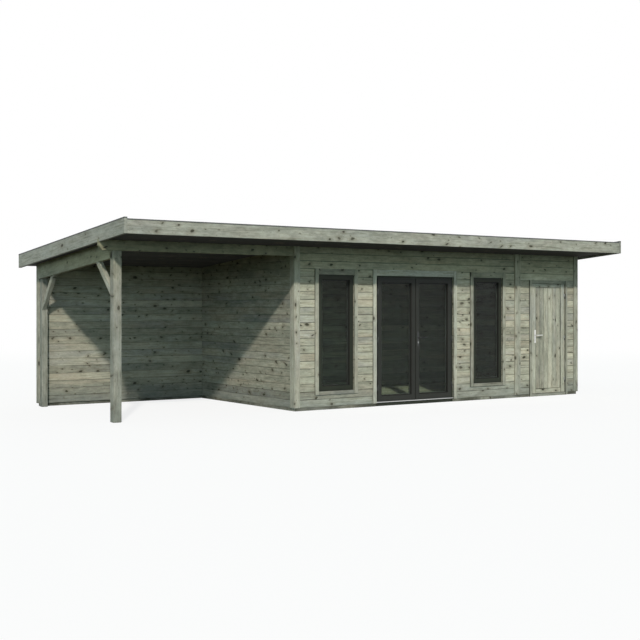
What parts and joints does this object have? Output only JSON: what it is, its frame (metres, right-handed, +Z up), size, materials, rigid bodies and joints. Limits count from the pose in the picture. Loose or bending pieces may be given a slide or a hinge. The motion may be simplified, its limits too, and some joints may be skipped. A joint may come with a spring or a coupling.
{
  "type": "garden office pod",
  "caption": "Pent-roof timber garden building: glazed office room, store with a plank door, and an open side shelter on posts.",
  "frame": {"origin": "centre of the footprint box, on the ground", "axes": "+X to the right along the front as seen from outside, +Y from the front to the rear, +Z up"},
  "size_m": [9.18, 3.975, 2.66],
  "materials": {
    "timber": "rough-sawn, pressure treated, weathered grey-green",
    "cladding": "planed horizontal boards, pressure treated, knotty",
    "floor_board": "planed softwood boards",
    "dark_joinery": "anthracite opaque paint, satin",
    "glazing": "clear sealed glass units",
    "threshold": "mill finish",
    "steel": "brushed",
    "felt": "mineral roofing felt",
    "capping": "dark weathered capping strip"
  },
  "bodies": {
    "building": {"base_long": "timber", "base_cross": "timber", "floor": "floor_board", "wall_front": "cladding", "wall_over_doors": "cladding", "wall_sides": "cladding", "wall_rear": "cladding", "wall_shelter": "cladding", "corner_trims": "timber", "cover_batten": "timber", "window_casings": "timber", "door_casing": "timber", "store_casing": "timber", "window_frames": "dark_joinery", "window_panes": "glazing", "door_frame": "dark_joinery", "door_threshold": "threshold", "store_lining": "timber", "hinge_pins": "steel", "posts": "timber", "side_beam": "timber", "front_beam": "timber", "braces": "timber", "roof_lining": "timber", "rafters": "timber", "roof_deck": "timber", "roof_felt": "felt", "front_fascia": "timber", "rear_fascia": "timber", "side_fascias": "timber", "edge_caps": "capping"},
    "left_leaf": {"leaf_left_frame": "dark_joinery", "leaf_left_pane": "glazing", "leaf_left_hinges": "steel"},
    "right_leaf": {"leaf_right_frame": "dark_joinery", "leaf_right_pane": "glazing", "leaf_right_hinges": "steel", "door_plate": "steel"},
    "door_lever": {"door_lever": "steel"},
    "store_leaf": {"store_leaf_frame": "timber", "store_leaf_planks": "cladding", "store_leaf_hinges": "steel", "store_plate": "steel"},
    "store_lever": {"store_lever": "steel"}
  },
  "joints": [
    {"name": "left_leaf_hinge", "type": "hinge", "parent": "building", "child": "left_leaf", "pos_m": [-0.0275, -1.195, 1], "axis": [0, 0, -1], "range_deg": [0, 90]},
    {"name": "right_leaf_hinge", "type": "hinge", "parent": "building", "child": "right_leaf", "pos_m": [1.4675, -1.195, 1], "axis": [0, 0, 1], "range_deg": [0, 90]},
    {"name": "store_leaf_hinge", "type": "hinge", "parent": "building", "child": "store_leaf", "pos_m": [4.0515, -1.195, 1], "axis": [0, 0, 1], "range_deg": [0, 90]},
    {"name": "door_lever_turn", "type": "hinge", "parent": "right_leaf", "child": "door_lever", "pos_m": [0.7675, -1.2135, 1.048], "axis": [0, 1, 0], "range_deg": [0, 40], "stiffness_Nm_per_rad": 1.5, "springref_deg": -20.05},
    {"name": "store_lever_turn", "type": "hinge", "parent": "store_leaf", "child": "store_lever", "pos_m": [3.339, -1.2135, 1.048], "axis": [0, 1, 0], "range_deg": [0, 40], "stiffness_Nm_per_rad": 1.5, "springref_deg": -20.05}
  ]
}
